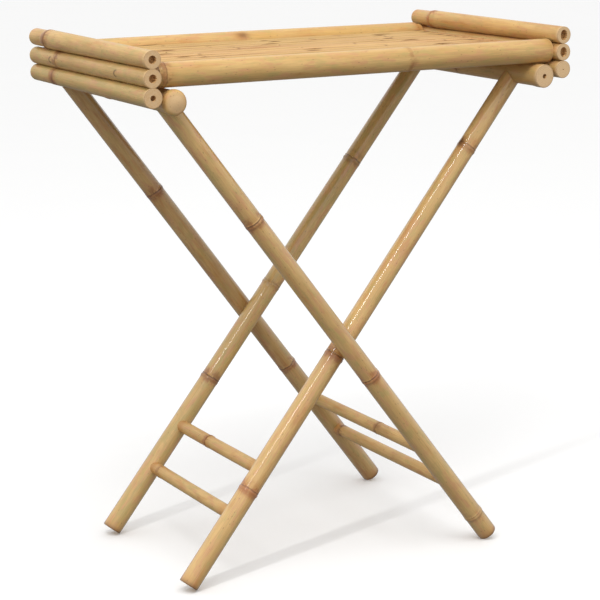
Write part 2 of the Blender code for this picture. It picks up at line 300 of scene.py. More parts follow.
def paint_nodes(skin, place, stain, patch):
    """Paints each node ring: a halo, blots and a band, a second line beside it, and the scar."""
    far, side, _ = skin.attribute_parts("node_place")
    band_look, line_look, rusty = skin.attribute_parts("node_look")
    ragged = skin.noise(place, (170, 170, 70), 2.0)
    near = skin.plus(side, skin.plus(-0.5, ragged), 0.003)
    away = skin.size(near)
    close = skin.remap(far, 0.012, 0.016, 1.0, 0.0)
    blotch = skin.noise(place, (85, 85, 60), 2.0, 0.6)
    brown = skin.mix(rusty, NODE_BROWN, RUST)

    halo = skin.remap(far, 0.003, 0.02, 1.0, 0.0)
    skin.paint(AMBER, halo, skin.remap(stain, 0.35, 0.65, 0.1, 0.7), band_look)
    blot = skin.remap(away, 0.003, 0.012, 1.0, 0.0)
    skin.paint(brown, blot, skin.remap(blotch, 0.46, 0.56, 0.0, 0.85), band_look, close)
    band = skin.product(skin.remap(near, -0.0012, 0.0004), skin.remap(near, 0.0034, 0.0072, 1.0, 0.0))
    skin.paint(brown, band, skin.remap(patch, 0.35, 0.6, 0.45, 0.95), band_look, close)
    arch = skin.remap(skin.size(skin.plus(-0.0064, near)), 0.0003, 0.0013, 0.7, 0.0)
    skin.paint(RUST, arch, skin.remap(blotch, 0.42, 0.54), line_look, close)
    scar = skin.remap(away, 0.0003, 0.0013, 0.9, 0.0)
    skin.paint(SCAR_DARK, scar, skin.remap(patch, 0.3, 0.5, 0.4, 1.0), line_look, close)


def bamboo_end():
    """Sawn end: pale wall with faint rings and the dots of the fibre bundles."""
    end = Surface("bamboo_end", Coat_Weight=0.1, Coat_Roughness=0.4)
    place = end.attribute("culm", "Vector")
    depth = end.attribute("wall")
    dots = end.cells(place, (1300, 1300, 40))
    cloud = end.noise(place, (260, 260, 20))
    turns = end.plus(end.product(cloud, 3.0), depth, 34.0)
    rings = end.add("Math", {0: turns}, operation="SINE")

    end.colour = end.mix(end.remap(cloud, 0.3, 0.7, 0.0, 0.6), END_PALE, SLAT_TAN)
    end.paint(END_BRIGHT, end.remap(end.attribute("worn"), 0.6, 1.0, 0.0, 0.75))
    end.paint(END_SPECK, end.remap(rings, 0.0, 1.0, 0.0, 0.28))
    spots = end.remap(dots, 0.16, 0.42, 1.0, 0.0)
    end.paint(END_SPECK, spots, end.remap(depth, 0.35, 1.0, 0.25, 0.8))
    end.paint(NODE_BROWN, end.remap(depth, 0.93, 1.0, 0.0, 0.45))
    end.paint(BORE_WALL, end.remap(depth, -0.02, 0.05, 0.7, 0.0))
    return end.finish(end.remap(cloud, 0.2, 0.8, 0.5, 0.75), dots, 0.25, 0.0004)


def bamboo_bore():
    """Rough wall and floor of a bore."""
    bore = Surface("bamboo_bore")
    fibre = bore.noise(bore.attribute("culm", "Vector"), (700, 700, 90))
    bore.colour = bore.mix(bore.remap(fibre, 0.35, 0.65), BORE_WALL, BORE_FLOOR)
    return bore.finish(bore.remap(fibre, 0.3, 0.7, 0.7, 0.95), fibre, 0.4, 0.0006)


def split_bamboo():
    """Flattened strips: long tan and golden streaks, fine fibres, and painted shade in the open splits, in the
    notches and on the strips' sides.
    """
    slat = Surface(
        "split_bamboo", Coat_Weight=0.02, Coat_Roughness=0.3, IOR=1.45, Specular_IOR_Level=0.06
    )
    place = slat.attribute("strip", "Vector")
    # The split attribute holds the painted shade of splits and notches, the node rings, and the painted shade of
    # the strips' sides
    gap_shade, ring, edge = slat.attribute_parts("split")
    tone, gold, rosy = slat.attribute_parts("tone_slat")
    broad = slat.noise(place, (5, 42, 42), 3.0, 0.6)
    band = slat.noise(place, (9, 95, 95), 3.0, 0.6)
    line = slat.noise(place, (12, 520, 60), 3.0, 0.6)
    fibre = slat.noise(place, (26, 1900, 90), 2.0)

    slat.colour = slat.mix(slat.remap(broad, 0.36, 0.64), SLAT_TAN, SLAT_ROSE)
    slat.paint(SLAT_GOLD, slat.remap(slat.plus(band, gold, 0.22), 0.5, 0.72, 0.0, 0.85))
    slat.paint(AMBER, slat.remap(band, 0.44, 0.3, 0.0, 0.5))
    slat.paint(NODE_BROWN, slat.remap(line, 0.4, 0.3, 0.0, 0.55))
    slat.paint(PINKISH, rosy, 0.7)
    slat.paint(NODE_BROWN, ring, 0.5)
    # Painted shade on the strips' sides, the top beside them and their end corners
    slat.paint(NODE_BROWN, edge, 0.62)
    # Painted shade in the open splits and in the notches before the trim line
    slat.paint(SLAT_GAP_SHADE, gap_shade)
    slat.tint(slat.remap(fibre, 0.25, 0.75, 0.84, 1.08), tone)
    return slat.finish(slat.remap(line, 0.3, 0.7, 0.6, 0.45), slat.plus(fibre, line, 2.0), 0.35, 0.0005)


def dowel_wood():
    wood = Surface("dowel_wood")
    grain = wood.noise(wood.add("TexCoord", {}, "Object"), (180, 180, 180), 4.0)
    wood.colour = wood.mix(grain, END_PALE, END_SPECK)
    return wood.finish(wood.remap(grain, 0.3, 0.7, 0.5, 0.7), grain, 0.2, 0.0004)


def washer_steel():
    steel = Surface("washer_steel", Metallic=1.0)
    scratch = steel.noise(steel.add("TexCoord", {}, "Object"), (500, 500, 2500))
    steel.colour = steel.mix(scratch, STEEL_DARK, STEEL_PALE)
    return steel.finish(steel.remap(scratch, 0.3, 0.7, 0.28, 0.45), scratch, 0.1, 0.0002)


def floor_material():
    floor = Surface("pale_floor", Roughness=0.85, Specular_IOR_Level=0.1)
    cloud = floor.noise(floor.add("TexCoord", {}, "Object"), (3, 3, 3))
    darker = tuple(0.99 * part for part in FLOOR_PALE)
    floor.wire(floor.mix(cloud, FLOOR_PALE, darker), floor.shader.inputs["Base Color"])
    return floor.material


# ------------ culms

# Marks with a column of their own in the skin's mark attribute
SCAR, BLUSH, GILT = 0, 1, 2


class Node:
    """A node ring on a culm: its place, how strong its band, line, rust and swelling are, which
    way its band lies from its ring, and how many times wider it is than most."""

    def __init__(self, place, band=0.6, line=0.6, rusty=0.3, relief=1.0, side=1.0, width=1.0):
        self.place = place
        self.width = width
        self.look = (band, line, rusty)
        self.relief = relief
        self.side = side


class CutEnd:
    """A sawn end: a rounded edge, a flat or domed face, and a bore if the culm is hollow there.

    An oval bore is taller than wide on a culm along +Y. worn is how pale the skin is at the edge,
    and a skinned end has no bare face."""

    RINGS = 10
    EDGE_RINGS = 7

    def __init__(self, bore=0.0, edge=0.0007, dome=0.0, oval=0.0, worn=0.0, skinned=False):
        turns = np.arange(AROUND) * 4 * math.pi / AROUND
        self.bore = bore * (1 - oval * np.cos(turns))
        self.edge = edge
        self.dome = dome
        self.worn = worn
        self.skinned = skinned

    def stations(self, skin):
        """(inward, radius, kind, wall) from the skin to the axis. inward is measured from the tip."""
        found = []
        for turn in np.linspace(0.0, math.pi / 2, self.EDGE_RINGS)[1:]:
            inward = self.dome + self.edge * (1 - math.sin(turn)) * np.ones_like(skin)
            kind = "skin" if turn < 1.2 or self.skinned else "end"
            found.append((inward, skin - self.edge * (1 - math.cos(turn)), kind, 1.0))
        rim = skin - self.edge
        for share in np.linspace(0.0, 1.0, self.RINGS + 1)[1:]:
            radius = rim + (self.bore - rim) * share
            inward = self.dome * (radius / rim) ** 2
            found.append((inward, radius, "skin" if self.skinned else "end", 1.0 - share))
        if self.bore.max() > 0:
            lip = np.ones_like(skin)
            wall = [(inward, 0.97) for inward in (0.0005, 0.003, 0.006, BORE_DEPTH)]
            for inward, share in wall + [(BORE_DEPTH + 0.0005, 0.5), (BORE_DEPTH, 0.0)]:
                found.append((inward * lip, share * self.bore, "bore", 0.0))
        return found

    def depth(self):
        return self.dome + self.edge


class SaddleEnd:
    """An end shaped to sit on round poles: it stops at limit or where it meets a pole.

    Each pole is a point on its axis, its direction and its radius."""

    SHARES = (0.93, 0.8, 0.6, 0.4, 0.2, 0.0)

    def __init__(self, poles, limit):
        self.poles = poles
        self.limit = limit

    def reach(self, culm, radius, sign):
        """How far a culm goes, all round it. sign is 1 at its finish and -1 at its start."""
        x, y = radius * np.cos(culm.theta), radius * np.sin(culm.theta)
        along = np.array(culm.along)
        start = np.array(culm.start) + np.multiply.outer(x, np.array(culm.side))
        start = start + np.multiply.outer(y, np.array(culm.up))
        found = np.full(np.shape(x), self.limit)
        for point, axis, pole_radius in self.poles:
            axis = np.array(Vector(axis).normalized())
            offset = start - np.array(point)
            offset = offset - np.multiply.outer(offset @ axis, axis)
            flat = along - (along @ axis) * axis
            a, b = flat @ flat, offset @ flat
            under = b**2 - a * ((offset**2).sum(axis=-1) - pole_radius**2)
            hit = (-b - sign * np.sqrt(np.clip(under, 0.0, None))) / a
            nearer = hit < found if sign > 0 else hit > found
            found = np.where((under > 0) & nearer, hit, found)
        return found


def culm_rows(fine_places, start, finish):
    rows = list(np.arange(start, finish, ROW_STEP)) + [finish]
    for place in fine_places:
        rows += list(np.arange(place - FINE_REACH, place + FINE_REACH, FINE_STEP))
    rows = sorted(row for row in rows if start <= row <= finish)
    kept = [rows[0]]
    for row in rows[1:]:
        if row - kept[-1] > 0.4 * FINE_STEP:
            kept.append(row)
    kept[-1] = finish
    return np.array(kept)


def hump(offset, width):
    """1 in the middle, falling smoothly to 0 over about twice the width."""
    return np.exp(-((offset / width) ** 2))


def node_relief(gap):
    """The swelling above a node, the thin sheath scar below it and the groove between them."""
    swelling = 0.00075 * hump(gap - 0.003, 0.0028)
    scar = 0.0005 * hump(gap + 0.0012, 0.0008)
    groove = -0.0003 * hump(gap - 0.0001, 0.0006)
    return swelling + scar + groove


class Culm:
    """One bamboo pole, lofted along the line from start to finish.

    radii is a list of (place along, radius). marks is a list of (kind, place along, angle, length,
    width, strength). Kinds are SCAR, BLUSH, GILT, "bud" for a C-shaped scar, and "lump" for a rise
    of the skin, whose strength is its height. tone is how warm, light and green the culm is."""

    def __init__(self, name, start, finish, radii, nodes, ends=None, relief=0.6, seed=0,
                 bend=0.0, uneven=0.006, marks=(), tone=(0.3, 1.0, 0.0)):
        self.name = name
        self.start = Vector(start)
        self.along = Vector(finish) - self.start
        self.length = self.along.length
        self.along.normalize()
        across = Vector((0, 0, 1)) if abs(self.along.y) > 0.5 else Vector((0, 1, 0))
        self.side = across.cross(self.along).normalized()
        self.up = self.along.cross(self.side)
        self.radii = radii
        self.nodes = nodes
        self.ends = ends or (CutEnd(), CutEnd())
        self.relief = relief
        self.rng = np.random.default_rng(seed)
        self.bend = bend
        self.uneven = uneven
        self.marks = marks
        self.tone = tone
        self.theta = np.arange(AROUND) * 2 * math.pi / AROUND
        self.phases = self.rng.uniform(0, 2 * math.pi, 6)

    def skin_radius(self, s):
        """Radius round the culm at a place along it."""
        share = s / self.length - 0.5
        waves = 0.5 * np.cos(2 * self.theta + self.phases[0] + 3.0 * share)
        waves += 0.3 * np.cos(3 * self.theta + self.phases[1] - 5.0 * share)
        waves += 0.35 * math.sin(9.0 * share + self.phases[2])
        radius = float(np.interp(s, *zip(*self.radii)))
        found = radius * (1.0 + self.uneven * (waves - 0.6))
        wobble = 1.0 + 0.35 * np.cos(self.theta + self.phases[3])
        for node in self.nodes:
            relief = node_relief(node.side * (s - node.place))
            found = found + self.relief * node.relief * relief * wobble
        for kind, place, angle, length, width, strength in self.marks:
            if kind == "lump":
                far = self.mark_distance(s, self.theta, place, angle, length, width)
                found = found + strength * hump(far, 1.0)
        return found

    def centre(self, s):
        sway = self.bend * np.sin(math.pi * np.asarray(s) / self.length)
        return sway, 0.5 * sway * math.cos(self.phases[4])

    def build(self, materials):
        first, last = self.ends
        low = first.depth() if isinstance(first, CutEnd) else 0.0
        high = self.length - (last.depth() if isinstance(last, CutEnd) else 0.0)
        fine = [node.place for node in self.nodes] + [mark[1] for mark in self.marks]
        stations = []
        for s in culm_rows(fine, low, high):
            stations.append([np.full(AROUND, s), self.skin_radius(s), "skin", 1.0])
        for end, tip, sign in ((first, 0.0, -1), (last, self.length, 1)):
            skin = self.skin_radius(low if sign < 0 else high)
            if isinstance(end, CutEnd):
                found = [
                    [tip - sign * inward, radius, kind, wall]
                    for inward, radius, kind, wall in end.stations(skin)
                ]
            else:
                self.fit_saddle(stations, end, tip, sign)
                found = [
                    [end.reach(self, share * skin, sign), share * skin, "end", share]
                    for share in end.SHARES
                ]
            stations = stations + found if sign > 0 else found[::-1] + stations
        return self.mesh_from(stations, materials)

    def fit_saddle(self, stations, end, tip, sign):
        """Draws the rings near a saddled end along each line of the skin, so that they meet it."""
        anchor = tip - sign * SADDLE_REACH
        for station in stations:
            places, radius = station[0], station[1]
            reach = end.reach(self, radius, sign)
            share = np.clip((places - anchor) / (tip - anchor), 0.0, 1.0)
            station[0] = places + share * (reach - tip)

    def node_fields(self, s):
        """For each point: distance and signed distance to its nearest node, and that node's look."""
        places = np.zeros((len(s), 3))
        looks = np.zeros((len(s), 3))
        places[:, 0] = places[:, 1] = FAR_FROM_NODE
        for node in self.nodes:
            gap = node.side * (s - node.place)
            nearer = np.abs(gap) < places[:, 0]
            places[nearer, 0] = np.abs(gap[nearer])
            places[nearer, 1] = gap[nearer] / node.width
            looks[nearer] = node.look
        return places, looks

    def mark_distance(self, s, theta, place, angle, length, width):
        turned = (theta - angle + math.pi) % (2 * math.pi) - math.pi
        return np.hypot((s - place) / length, turned * self.radii[0][1] / width)

    def mark_field(self, s, theta):
        field = np.zeros((len(s), 3))
        for kind, place, angle, length, width, strength in self.marks:
            if kind == "lump":
                continue
            far = self.mark_distance(s, theta, place, angle, length, width)
            if kind == "bud":
                curve = hump(far - 1.0, 0.28)
                value = curve * np.clip(0.6 + (s - place) / length, 0.0, 1.0)
                kind = SCAR
            else:
                value = hump(far, 1.0)
            field[:, kind] = np.maximum(field[:, kind], strength * value)
        return field

    def worn_field(self, s):
        """How far sanding has bared each point near a cut end."""
        field = np.zeros(len(s))
        for end, gap in ((self.ends[0], s), (self.ends[1], self.length - s)):
            if isinstance(end, CutEnd):
                field = np.maximum(field, end.worn * np.clip(1.6 - gap / WORN_REACH, 0.0, 1.0))
        return field

    def mesh_from(self, stations, materials):
        names = ("culm", "node_place", "node_look", "wall", "mark", "worn")
        columns = {name: [] for name in names}
        points, rings, kinds = [], [], []
        count = 0
        offset = self.rng.uniform(-1, 1, 3) * np.array([0.3, 0.3, 3.0])
        for s, radius, kind, wall in stations:
            keep = 1 if float(np.max(radius)) < 1e-7 else AROUND
            s, radius, theta = s[:keep], radius[:keep], self.theta[:keep]
            x, y = radius * np.cos(theta), radius * np.sin(theta)
            sway, twist = self.centre(s)
            place = np.outer(x + sway, self.side) + np.outer(y + twist, self.up)
            points.append(place + np.outer(s, self.along) + np.array(self.start))
            rings.append(np.arange(count, count + keep))
            count += keep
            kinds.append(kind)
            node_place, node_look = self.node_fields(s)
            columns["culm"].append(np.column_stack([x, y, s]) + offset)
            columns["node_place"].append(node_place)
            columns["node_look"].append(node_look)
            columns["wall"].append(np.full(keep, wall))
            columns["mark"].append(self.mark_field(s, theta))
            columns["worn"].append(self.worn_field(s))
        faces, slots = ring_faces(rings, kinds)
        mesh = bpy.data.meshes.new(self.name)
        mesh.from_pydata(np.concatenate(points).tolist(), [], faces)
        mesh.polygons.foreach_set("material_index", slots)
        for name, blocks in columns.items():
            set_attribute(mesh, name, np.concatenate(blocks))
        set_attribute(mesh, "tone", np.tile(self.tone, (count, 1)))
        return finish_mesh(mesh, materials)


def ring_faces(rings, kinds):
    """Faces between neighbouring rings, a fan where a ring is one point, and their material."""
    slot_of = {"skin": 0, "end": 1, "bore": 2}
    faces, slots = [], []
    for index in range(len(rings) - 1):
        here, there = rings[index], rings[index + 1]
        kind = max(kinds[index], kinds[index + 1], key=lambda name: slot_of[name])
        count = max(len(here), len(there))
        for step in range(count):
            ahead = (step + 1) % count
            if len(here) == 1:
                face = (here[0], there[ahead], there[step])
            elif len(there) == 1:
                face = (here[step], here[ahead], there[0])
            else:
                face = (here[step], here[ahead], there[ahead], there[step])
            faces.append([int(vertex) for vertex in face])
            slots.append(slot_of[kind])
    return faces, slots


def set_attribute(mesh, name, values):
    values = np.asarray(values, np.float32)
    kind, field = ("FLOAT_VECTOR", "vector") if values.ndim == 2 else ("FLOAT", "value")
    layer = mesh.attributes.new(name, kind, "POINT")
    layer.data.foreach_set(field, values.ravel())


def finish_mesh(mesh, materials):
    mesh.validate()
    mesh.shade_smooth()
    mesh.set_sharp_from_angle(angle=SHARP_ANGLE)
    for material in materials:
        mesh.materials.append(material)
    piece = bpy.data.objects.new(mesh.name, mesh)
    bpy.context.scene.collection.objects.link(piece)
    return piece


def stands_for(piece, node):
    """The piece takes a CAD node's body, and hides the node."""
    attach(piece, BODY_OF[node])
    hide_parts(node)


def add_culm(node, materials, *shape, **look):
    stands_for(Culm("bamboo_" + node, *shape, **look).build(materials), node)


# ------------ the table's poles

# Angles round a culm. On one along +Y, 0 is its left side. On one along +X, 0 is its underside
LEFT = 0.0
UP = math.pi / 2
DOWN = -math.pi / 2

POLE_LOOK = dict(oval=0.0, worn=0.65, flare=1.0, marks=())


def build_end_poles(materials):
    """Places along the poles are worked out from their middle, half."""
    half = span("left_end_pole_middle").y / 2
    back = 2 * half
    poles = {
        "left_end_pole_top": dict(
            nodes=[Node(half + 0.14, 0.85, 0.6, 0.4, 0.7, width=1.5)], bores=(0.0056, 0.004),
            flare=1.035, tone=(0.3, 0.97, 0.2), swell=(0.13, 0.158, 0.0124),
            marks=[
                (BLUSH, half - 0.06, 0.6, 0.03, 0.006, 0.25), (GILT, half + 0.05, 0.9, 0.05, 0.006, 0.5),
                (BLUSH, half + 0.165, 0.5, 0.014, 0.03, 0.35),
            ],
        ),
        "left_end_pole_middle": dict(
            nodes=[Node(half + 0.102, 0.85, 0.6, 0.4, 0.6, width=1.6)], bores=(0.0057, 0.0042),
            flare=1.035, tone=(0.25, 0.93, 0.3),
            marks=[
                ("bud", half + 0.118, LEFT, 0.0058, 0.0042, 1.0),
                ("bud", half - 0.108, LEFT, 0.006, 0.0044, 1.0),
                (BLUSH, half + 0.06, 0.2, 0.04, 0.008, 0.35),
            ],
        ),
        "left_end_pole_bottom": dict(
            nodes=[Node(half + 0.116, 1.0, 0.4, 0.8, 0.7, width=1.8)], bores=(0.004, 0.0036),
            flare=1.03, tone=(0.15, 0.95, 0.8),
            marks=[
                (BLUSH, half - 0.067, -1.2, 0.006, 0.004, 0.6),
                (SCAR, half + 0.116, LEFT, 0.0045, 0.014, 0.4),
                ("lump", half - 0.06, DOWN, 0.015, 0.009, 0.0017),
            ],
        ),
        "right_end_pole_top": dict(
            nodes=[Node(half + 0.1435, 1.0, 0.35, 1.0, 0.7, width=1.3)], bores=(0.0068, 0.005),
            oval=0.14, worn=0.85, tone=(0.55, 0.98, 0.0), swell=(0.134, 0.16, 0.0124),
            marks=[
                (BLUSH, half + 0.02, 0.3, 0.08, 0.006, 0.35), (GILT, half - 0.05, 0.7, 0.06, 0.008, 0.8),
            ],
        ),
        "right_end_pole_middle": dict(
            nodes=[Node(half + 0.172, 1.0, 0.35, 1.0, 0.5, width=1.6)], bores=(0.0066, 0.0052),
            oval=0.12, worn=0.85, tone=(0.75, 0.95, 0.0),
            marks=[
                (BLUSH, back, UP, 0.03, 0.03, 0.7), ("lump", back - 0.014, 1.9, 0.024, 0.018, 0.0022),
            ],
        ),
        "right_end_pole_bottom": dict(
            nodes=[Node(half + 0.08)], bores=(0.0008, 0.0012), worn=1.0, tone=(0.2, 0.97, 0.4),
        ),
    }
    for seed, (node, look) in enumerate(poles.items()):
        look = {**POLE_LOOK, **look}
        start, finish, radii = axis_of(node)
        closer = Vector((0, 0, {"top": -1, "bottom": 1}.get(node.split("_")[-1], 0))) * 1.1 * CAD_GAP
        length = (finish - start).length
        flared = look["flare"] * radii[0]
        profile = [(0.0, flared), (0.004, flared), (0.01, radii[0])]
        if "swell" in look:
            thickest, thin, thin_radius = look["swell"]
            at_thickest = float(np.interp(half + thickest, (0.0, length), radii))
            profile += [
                (half + thickest, at_thickest), (half + thin - 0.012, at_thickest),
                (half + thin, thin_radius), (length, thin_radius),
            ]
        else:
            profile.append((length, radii[1]))
        ends = [
            CutEnd(look["bores"][0], 0.0006, oval=look["oval"], worn=look["worn"]),
            CutEnd(look["bores"][1], 0.0012, worn=0.3),
        ]
        add_culm(
            node, materials, start + closer, finish + closer, profile, look["nodes"], ends,
            relief=0.5, seed=11 + seed, marks=look["marks"], tone=look["tone"],
        )


def rail_line(node, past_start=0.0, past_finish=0.0):
    """Ends and radius of a rail, drawn out past the CAD part's ends."""
    low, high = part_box(node)
    start = Vector((low.x - past_start, middle(node).y, middle(node).z))
    finish = Vector((high.x + past_finish, start.y, start.z))
    return start, finish, span(node).z / 2


def build_front_rail(materials):
    """It is cut square against the middle end poles, which it touches."""
    start, finish, radius = rail_line("front_rail", 2.5 * CAD_GAP, 5.0 * CAD_GAP)
    collar, bud = -0.312 - start.x, 0.0785 - start.x
    add_culm(
        "front_rail", materials, start, finish,
        [
            (0.0, 0.9 * radius), (collar - 0.008, 0.93 * radius), (collar - 0.004, 1.01 * radius),
            (collar, 1.02 * radius), (collar + 0.005, 0.985 * radius),
            (bud - 0.012, 0.985 * radius), (bud, 1.01 * radius), (bud + 0.004, 0.975 * radius),
            (bud + 0.1, 0.99 * radius), ((finish - start).length, radius),
        ],
        [
            Node(collar, 0.7, 0.45, 0.5, 0.6, -1.0),
            Node(collar - 0.01, 0.6, 0.8, 0.2, 0.0, -1.0),
            Node(bud, 0.3, 0.0, 0.3, 0.3, -1.0),
        ],
        (CutEnd(0.0, 0.0016), CutEnd(0.0, 0.0009, worn=0.4)), seed=31, tone=(0.1, 1.0, 0.05),
        marks=[
            ("bud", bud - 0.007, math.pi - 0.75, 0.006, 0.0045, 0.75),
            (BLUSH, bud - 0.002, -0.7, 0.004, 0.008, 0.8),
            (GILT, 0.1, 2.3, 0.1, 0.012, 0.8), (GILT, bud + 0.09, 2.2, 0.12, 0.01, 0.7),
            (BLUSH, (finish - start).length, 2.0, 0.006, 0.03, 0.8),
        ],
    )


def build_back_rail(materials):
    """It is cut round to lie against its end poles, and is thinner beside the right ones."""
    start, finish, radius = rail_line("back_rail")
    poles = {"left": [], "right": []}
    for side in poles:
        for level in ("bottom", "middle", "top"):
            front, back, radii = axis_of(f"{side}_end_pole_{level}")
            share = (start.y - front.y) / (back.y - front.y)
            near = radii[0] + share * (radii[1] - radii[0])
            poles[side].append((front.lerp(back, share), back - front, near))
    length = (finish - start).length
    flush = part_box("right_end_pole_middle")[0].x + 0.001 - start.x
    neck = flush - 0.009
    ring = -0.006 - start.x
    add_culm(
        "back_rail", materials, start, finish,
        [
            (0.0, 0.985 * radius), (ring, radius), (neck, 0.98 * radius),
            (neck + 0.0025, 0.82 * radius), (length, 0.82 * radius),
        ],
        [Node(ring, 0.0, 0.15, 1.0, 0.5)],
        (SaddleEnd(poles["left"], 0.0), SaddleEnd(poles["right"], flush)), seed=32,
        tone=(0.45, 1.02, 0.0),
        marks=[
            (BLUSH, ring - 0.007, -2.45, 0.012, 0.009, 1.0),
            (SCAR, ring - 0.003, -2.4, 0.009, 0.006, 0.6), (BLUSH, neck, -2.4, 0.009, 0.03, 1.0),
            (GILT, ring + 0.16, -2.0, 0.1, 0.02, 0.8), (GILT, ring + 0.04, -2.2, 0.03, 0.01, 0.9),
            (BLUSH, ring - 0.14, -1.9, 0.07, 0.008, 0.5), (BLUSH, ring + 0.11, -1.9, 0.05, 0.004, 0.35),
        ],
    )


def build_crossbars(materials):
    looks = {
        "left_crossbar": dict(
            nodes=[Node(0.262, 0.4, 0.5, 0.3)], tone=(0.25, 1.03, 0.0), flare=1.11,
            lean=(0.0025, 0.0, -0.0008), front=CutEnd(0.0, 0.0075, 0.002, worn=0.95, skinned=True),
            marks=[(BLUSH, 0.006, 3.0, 0.006, 0.012, 0.6), (BLUSH, 0.006, 0.2, 0.006, 0.01, 0.5)],
        ),
        "right_crossbar": dict(
            nodes=[Node(0.201, 0.5, 0.6, 0.3)], tone=(0.3, 0.95, 0.0), flare=1.06,
            lean=(0.0006, 0.0, 0.0), front=CutEnd(0.0034, 0.0008, worn=1.0), marks=(),
        ),
    }
    for seed, (node, look) in enumerate(looks.items()):
        start, finish, radii = axis_of(node)
        start += Vector(look["lean"])
        flared = look["flare"] * radii[0]
        profile = [
            (0.0, flared), (0.012, flared), (0.022, radii[0]), ((finish - start).length, radii[1]),
        ]
        add_culm(
            node, materials, start, finish, profile, look["nodes"],
            (look["front"], CutEnd(0.0034, 0.0014)), seed=41 + seed,
            marks=look["marks"], tone=look["tone"],
        )


# The light column of the inner legs' tones is raised as painted light, brightening them where more light falls on
# them
LEGS = {
    "front_outer_leg": dict(
        crossbar="left_crossbar", tone=(0.3, 1.0, 0.1),
        nodes=[Node(0.2595, 0.9, 0.6, 0.8), Node(-0.0518, 1.0, 0.6, 1.0), Node(-0.3548, 0.2, 0.1)],
    ),
    "back_outer_leg": dict(
        crossbar="left_crossbar", tone=(0.65, 0.86, 0.0),
        nodes=[Node(0.2594, 0.9, 0.6, 0.7), Node(-0.1277, 1.0, 0.7, 0.9)],
    ),
    "front_inner_leg": dict(
        crossbar="right_crossbar", tone=(0.35, 1.1, 0.0),
        nodes=[Node(0.359, 0.6, 0.4, 0.6), Node(-0.0146, 0.9, 0.6, 0.8), Node(-0.2483, 1.0, 0.5, 1.0)],
        marks=[(SCAR, 0.3585, math.pi, 0.0075, 0.007, 1.0)],
    ),
    "back_inner_leg": dict(
        crossbar="right_crossbar", tone=(0.1, 1.12, 0.6),
        nodes=[Node(0.2935, 0.45, 0.5, 0.0), Node(0.0548, 0.3, 0.2, 0.2), Node(-0.1237, 0.9, 0.7, 0.4)],
    ),
}


def build_legs(materials):
    # At each foot: an amber tint, and a dark line along the bottom edge which is a painted contact shadow
    rim = [(BLUSH, 0.0, 0.0, 0.013, 0.1, 0.8), (SCAR, 0.0, 0.0, 0.0042, 0.1, 0.85)]
    for seed, (node, look) in enumerate(LEGS.items()):
        low, high, _ = axis_of(node + "_top_dowel")
        if low.z > high.z:
            low, high = high, low
        along = (high - low).normalized()
        points = mesh_points(node)
        foot = Vector(end_centre(points, -np.array(along)))
        foot_radius = radius_near(points, np.array(foot), np.array(along))
        bar_start, bar_finish, bar_radii = axis_of(look["crossbar"])
        top, bar_point = intersect_line_line(foot, high, bar_start, bar_finish)
        share = (bar_point - bar_start).length / (bar_finish - bar_start).length
        bar_radius = bar_radii[0] + share * (bar_radii[1] - bar_radii[0])
        up_to = (top - foot).length
        pivot_at = up_to * (PIVOT.z - foot.z) / (top.z - foot.z)
        top_radius = float(span(node).y - abs(top.y - foot.y)) - foot_radius
        top_radius = min(top_radius, 0.97 * foot_radius)
        nodes = look["nodes"]
        for ring in nodes:
            ring.place += pivot_at
            ring.side = -1.0
            ring.width = 1.4
        limit = up_to - 0.5 * bar_radius
        finish = foot + along * limit
        saddle = SaddleEnd([(bar_point, bar_finish - bar_start, bar_radius)], limit)
        add_culm(
            node, materials, foot, finish, [(0.0, foot_radius), (limit, top_radius)], nodes,
            (CutEnd(0.003, 0.0013), saddle), relief=1.0, seed=51 + seed, bend=0.0002,
            uneven=0.005, tone=look["tone"],
            marks=rim + [(mark[0], pivot_at + mark[1], *mark[2:]) for mark in look.get("marks", [])],
        )


def build_rungs(materials):
    rungs = {
        "inner_upper_rung": [Node(0.16, 1.0, 0.8, 0.6, 1.3, width=1.3)],
        "inner_lower_rung": [Node(0.235, 0.4, 0.4, 0.5)],
        "outer_upper_rung": [Node(0.12, 0.5, 0.6, 0.3)],
        "outer_lower_rung": [Node(0.305, 0.8, 0.7, 0.2)],
    }
    for seed, (node, nodes) in enumerate(rungs.items()):
        start, finish, radii = axis_of(node)
        length = (finish - start).length
        add_culm(
            node, materials, start, finish, [(0.0, radii[0]), (1.0, radii[1])], nodes,
            relief=0.7, seed=61 + seed, bend=0.0004, uneven=0.012, tone=(0.35, 1.0, 0.0),
            # Both ends are painted darker amber: painted shade where the rung meets the legs
            marks=[
                (BLUSH, 0.014, 0.0, 0.01, 0.1, 0.6), (BLUSH, length - 0.014, 0.0, 0.01, 0.1, 0.9),
            ],
        )


def build_battens(materials):
    for index in range(3):
        node = f"tray_batten_{index + 1}"
        start, finish, radii = axis_of(node)
        add_culm(
            node, materials, start, finish, [(0.0, radii[0]), (1.0, radii[1])],
            [Node(0.1 + 0.05 * index)], relief=0.3, seed=71 + index, tone=(0.4, 0.85, 0.0),
        )


# ------------ slats

SLAT_ROWS = 240
SLAT_COLUMNS = 46
SLAT_SINK = 0.0002
SLAT_CROWN = 0.0009
SLAT_LIP = 0.001
SPLIT_LIFT = 0.001
RING_RISE = 0.00035
STEP_DOWN = 0.001
TRIM_BACK, TRIM_SPREAD = 0.0115, 0.03


def ramp(value, low, high):
    """0 up to low, 1 from high on, and straight between them."""
    return np.clip((value - low) / (high - low), 0, 1)


def ragged_outline(rng, u, v, length, width):
    """x and y of a strip's points, with ragged ends, uneven corners and wandering sides."""
    x = u * length
    for sign in (-1, 1):
        corner = 0.005 + 0.005 * rng.random()
        edge = np.abs(v * 2) ** 7 + 0.5 * rng.uniform(-0.2, 1.0) * v
        ragged = 0.0007 * np.sin(v * 23 + rng.uniform(0, 6)) + 0.0005 * np.sin(v * 57)
        pull = corner * edge + ragged + 0.004 + 0.004 * rng.random()
        x = x - sign * ramp(sign * x, length / 2 - 0.02, length / 2) * pull
    return x, v * width * (1 - 0.008 * (1 + np.sin(u * 14 + rng.uniform(0, 6))))


